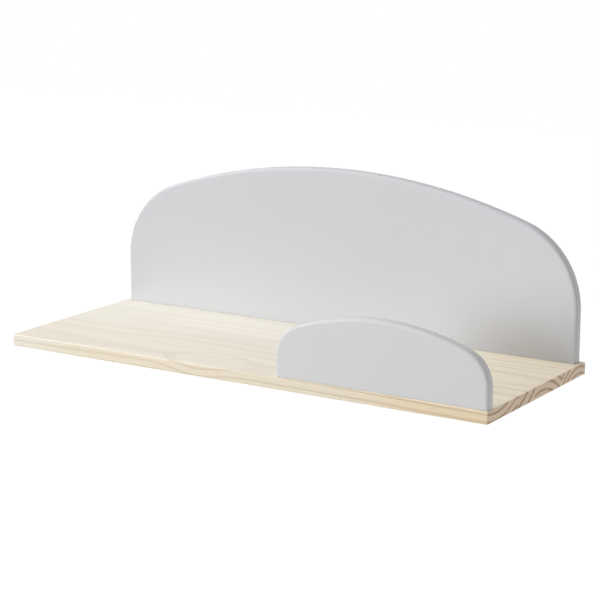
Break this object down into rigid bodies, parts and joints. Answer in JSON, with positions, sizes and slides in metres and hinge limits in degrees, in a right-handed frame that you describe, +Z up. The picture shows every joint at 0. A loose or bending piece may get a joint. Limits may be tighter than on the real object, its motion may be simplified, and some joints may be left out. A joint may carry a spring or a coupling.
{
  "type": "wall shelf",
  "caption": "Wall shelf: an edge-glued pine board with a tall arched grey back panel and a low arched guard along its front edge.",
  "frame": {"origin": "middle of the board's underside, halfway along the shelf and halfway between its front edge and its wall edge", "axes": "+X along the shelf towards the end that carries the guard, +Y towards the wall, +Z up"},
  "size_m": [0.8, 0.307, 0.264],
  "materials": {
    "pine": "clear matt lacquer on pale glued pine",
    "grey_paint": "light grey satin paint on fibreboard",
    "beech": "bare fluted beech",
    "zinc_steel": "bright zinc plate"
  },
  "bodies": {
    "root": {"stave_1": "pine", "stave_2": "pine", "stave_3": "pine", "stave_4": "pine", "back_panel": "grey_paint", "front_guard": "grey_paint", "back_screw_1": "zinc_steel", "back_screw_2": "zinc_steel", "back_screw_3": "zinc_steel", "back_screw_4": "zinc_steel", "guard_screw_1": "zinc_steel", "guard_screw_2": "zinc_steel", "guard_screw_3": "zinc_steel", "back_dowel_1": "beech", "back_dowel_2": "beech", "back_dowel_3": "beech", "guard_dowel_1": "beech", "guard_dowel_2": "beech", "hanger_left": "zinc_steel", "hanger_right": "zinc_steel", "hanger_left_screw_top": "zinc_steel", "hanger_left_screw_bottom": "zinc_steel", "hanger_right_screw_top": "zinc_steel", "hanger_right_screw_bottom": "zinc_steel"}
  },
  "joints": []
}
